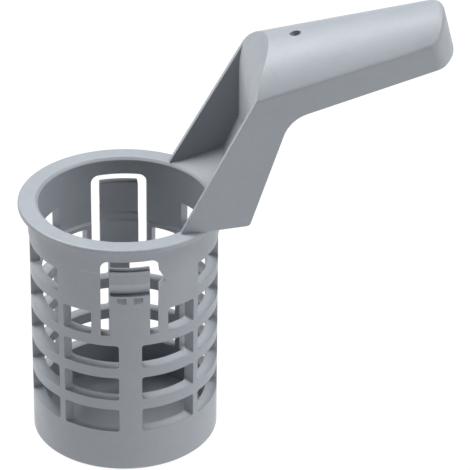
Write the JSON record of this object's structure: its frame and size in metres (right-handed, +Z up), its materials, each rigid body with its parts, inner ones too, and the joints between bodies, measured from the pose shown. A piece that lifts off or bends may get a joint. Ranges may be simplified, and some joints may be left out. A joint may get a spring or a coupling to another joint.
{
  "type": "dishwasher filter",
  "caption": "Round slotted filter cup with a flanged rim, two sprung latch tongues and a hollow arched lifting handle that leans out to one side.",
  "frame": {"origin": "centre of the cup's flat underside, on the cup's axis", "axes": "+Z up the cup's axis to the open rim, +X out along the handle, the latch tongues face -Y and +Y"},
  "size_m": [0.1384, 0.068, 0.1498],
  "materials": {
    "grey_plastic": "fine moulded satin"
  },
  "bodies": {
    "root": {"filter_basket": "grey_plastic"}
  },
  "joints": []
}
